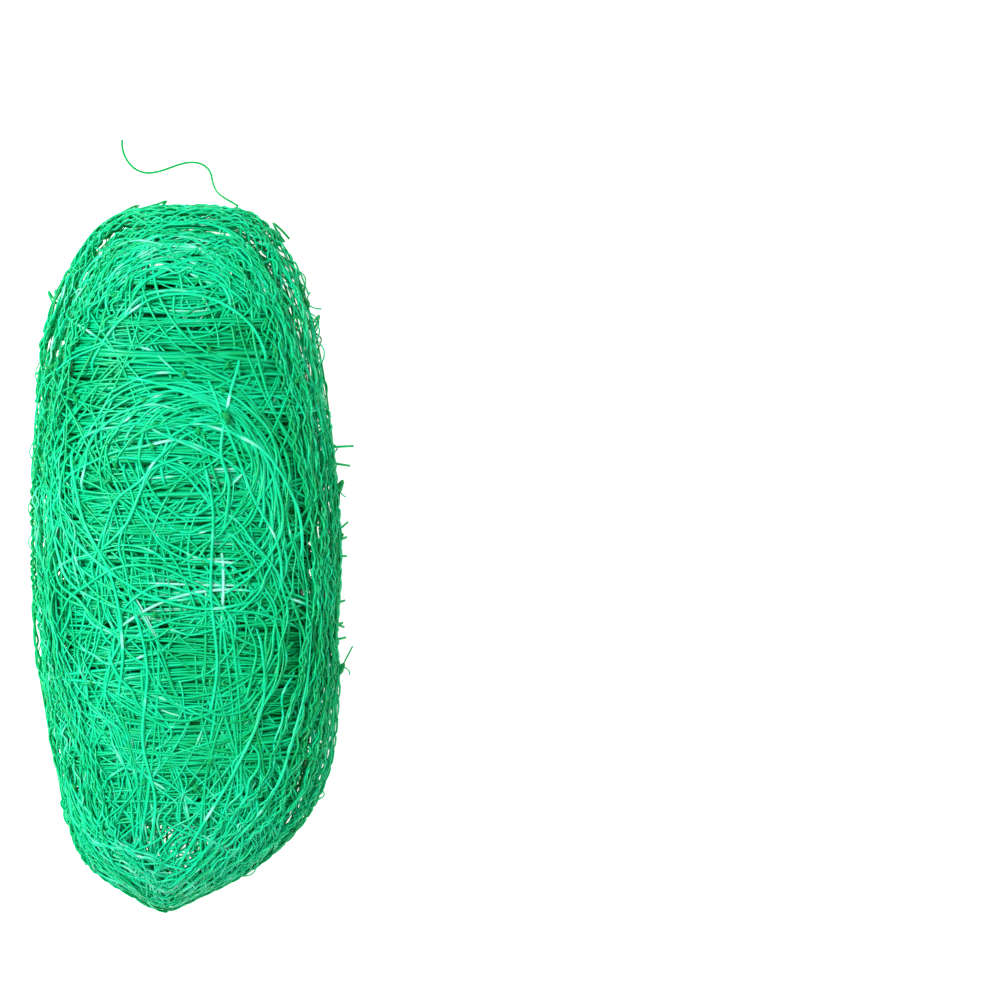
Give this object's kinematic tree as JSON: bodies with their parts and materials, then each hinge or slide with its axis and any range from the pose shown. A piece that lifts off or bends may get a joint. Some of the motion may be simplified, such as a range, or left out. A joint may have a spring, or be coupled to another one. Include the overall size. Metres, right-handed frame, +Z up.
{
  "type": "hank of plant trellis netting",
  "caption": "Hank of knotted green plastic netting for climbing plants: long loops and short turns wound into a rounded bundle, with one loose strand end.",
  "frame": {"origin": "centre of the hank's own box at the surface it lies on", "axes": "+X to the hank's right, +Y along the hank to its round top, +Z up out of its front"},
  "size_m": [0.1606, 0.3917, 0.0951],
  "materials": {
    "netting": "drawn polyethylene tape strands, glossy, bright green",
    "strand": "drawn polyethylene strand, glossy, blue-green"
  },
  "bodies": {
    "root": {"netting_hank": "netting", "loose_strand_end": "strand"}
  },
  "joints": []
}
